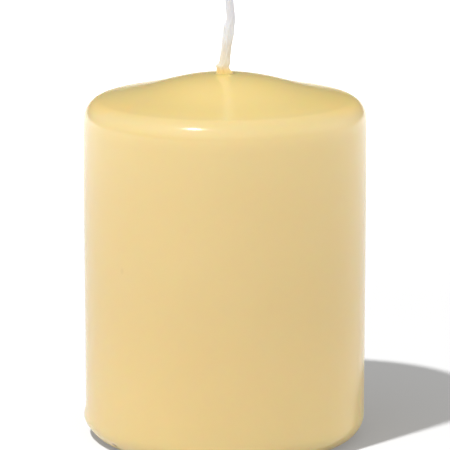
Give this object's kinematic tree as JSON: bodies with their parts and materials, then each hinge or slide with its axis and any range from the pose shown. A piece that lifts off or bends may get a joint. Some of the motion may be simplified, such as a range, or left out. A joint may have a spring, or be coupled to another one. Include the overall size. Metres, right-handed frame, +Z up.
{
  "type": "pillar candle",
  "caption": "Glossy pale yellow pillar candle with a low cone crown, rounded shoulder and foot edge, and a kinked white cotton wick.",
  "frame": {"origin": "middle of the foot, on the surface the candle stands on", "axes": "+Z up along the candle's axis, -Y towards the front that the picture shows"},
  "size_m": [0.07, 0.07, 0.1148],
  "materials": {
    "wax": "glossy paraffin wax, slightly translucent",
    "wick_cotton": "plaited cotton soaked in wax",
    "tinplate": "bright tinplate"
  },
  "bodies": {
    "root": {"wax_body": "wax", "wick": "wick_cotton", "wick_sustainer": "tinplate"}
  },
  "joints": []
}
